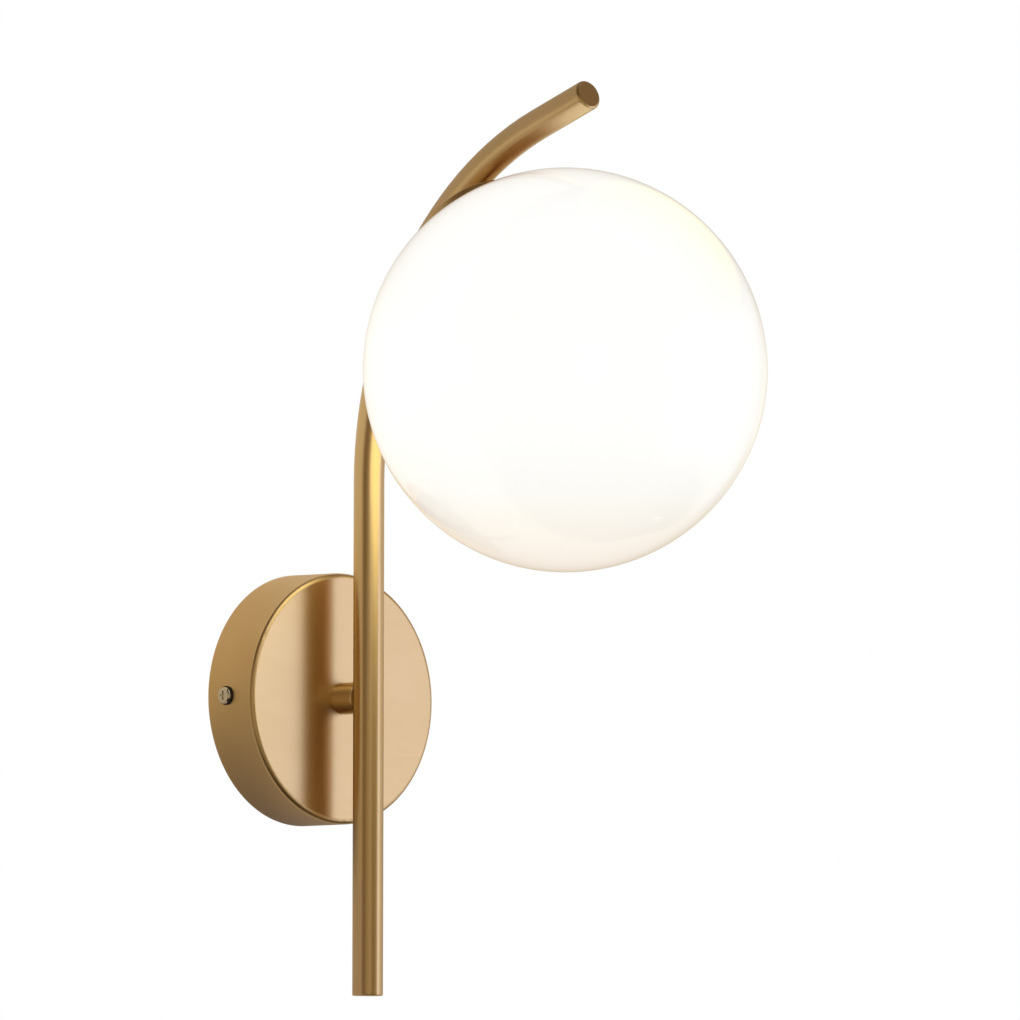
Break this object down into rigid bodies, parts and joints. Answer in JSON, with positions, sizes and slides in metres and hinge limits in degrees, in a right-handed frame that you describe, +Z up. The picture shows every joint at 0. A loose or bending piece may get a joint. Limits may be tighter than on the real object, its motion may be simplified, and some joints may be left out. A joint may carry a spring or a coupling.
{
  "type": "globe wall sconce",
  "caption": "Wall sconce with a round canopy, a short post, a tall bent rod in satin brass and an opal glass globe hung under the bend.",
  "frame": {"origin": "centre of the wall bracket's two screw slots, on the canopy's axis, in the plane of the wall", "axes": "+Z up, +Y into the wall, the room and the globe on the -Y side, +X to the right of someone facing the wall"},
  "size_m": [0.2, 0.2897, 0.448],
  "materials": {
    "satin_brass": "satin brushed and lacquered",
    "opal_glass": "blown opal glass, matt outside",
    "zinc_steel": "bright zinc plated",
    "nickel_steel": "nickel plated",
    "terminal_brass": "plain turned brass",
    "white_polyamide": "moulded",
    "black_thermoplastic": "moulded, fine texture",
    "steatite": "fired, unglazed",
    "silicone": "moulded, matt",
    "brown_lead": "extruded insulation",
    "blue_lead": "extruded insulation",
    "earth_lead_cover": "extruded insulation, green with a yellow stripe",
    "bulb_diffuser": "moulded, diffusing",
    "bulb_white": "moulded",
    "bulb_cap_metal": "rolled",
    "bulb_black_glass": "glassy insulator",
    "led_board_white": "coated board"
  },
  "bodies": {
    "fixture": {"wall_bracket": "zinc_steel", "earth_screw": "zinc_steel", "earth_lug": "nickel_steel", "earth_lead": "earth_lead_cover", "terminal_block": "white_polyamide", "terminal_contacts": "terminal_brass", "terminal_clamp_screws": "zinc_steel", "terminal_fixing_screws": "zinc_steel", "canopy": "satin_brass", "canopy_side_screws": "nickel_steel", "canopy_nipple": "zinc_steel", "canopy_lock_washer": "zinc_steel", "canopy_nut": "zinc_steel", "canopy_bush": "white_polyamide", "spacer_post": "satin_brass", "rod": "satin_brass", "rod_bottom_plug": "satin_brass", "rod_tip_plug": "satin_brass", "lead_live": "brown_lead", "lead_neutral": "blue_lead", "fitter_boss": "satin_brass", "fitter_nipple": "zinc_steel", "fitter_nut": "zinc_steel", "gallery_cap": "satin_brass", "gallery_thread_ring": "satin_brass", "lampholder_cap": "black_thermoplastic", "lampholder_skirt": "black_thermoplastic", "lampholder_insert": "steatite", "lampholder_thread_shell": "terminal_brass", "lampholder_centre_contact": "terminal_brass", "lampholder_terminals": "terminal_brass", "lampholder_terminal_screws": "zinc_steel"},
    "globe_seal_ring": {"globe_seal": "silicone"},
    "globe": {"globe": "opal_glass"},
    "bulb": {"bulb_envelope": "bulb_diffuser", "bulb_housing": "bulb_white", "bulb_led_board": "led_board_white", "bulb_screw_shell": "bulb_cap_metal", "bulb_insulator": "bulb_black_glass", "bulb_tip_contact": "bulb_cap_metal"}
  },
  "joints": [
    {"name": "globe_back_off", "type": "slide", "parent": "fixture", "child": "globe_seal_ring", "axis": [0, -0.6587, -0.7524], "range_m": [0, 0.006]},
    {"name": "globe_unscrew", "type": "hinge", "parent": "globe_seal_ring", "child": "globe", "pos_m": [0, -0.18975, 0.1574], "axis": [0, -0.6587, -0.7524], "range_deg": [0, 540]},
    {"name": "bulb_unscrew", "type": "slide", "parent": "fixture", "child": "bulb", "axis": [0, -0.6587, -0.7524], "range_m": [0, 0.0127]}
  ],
  "couplings": [
    {"joint": "globe_back_off", "follows": "globe_unscrew", "m_per_rad": 0.00063662}
  ]
}
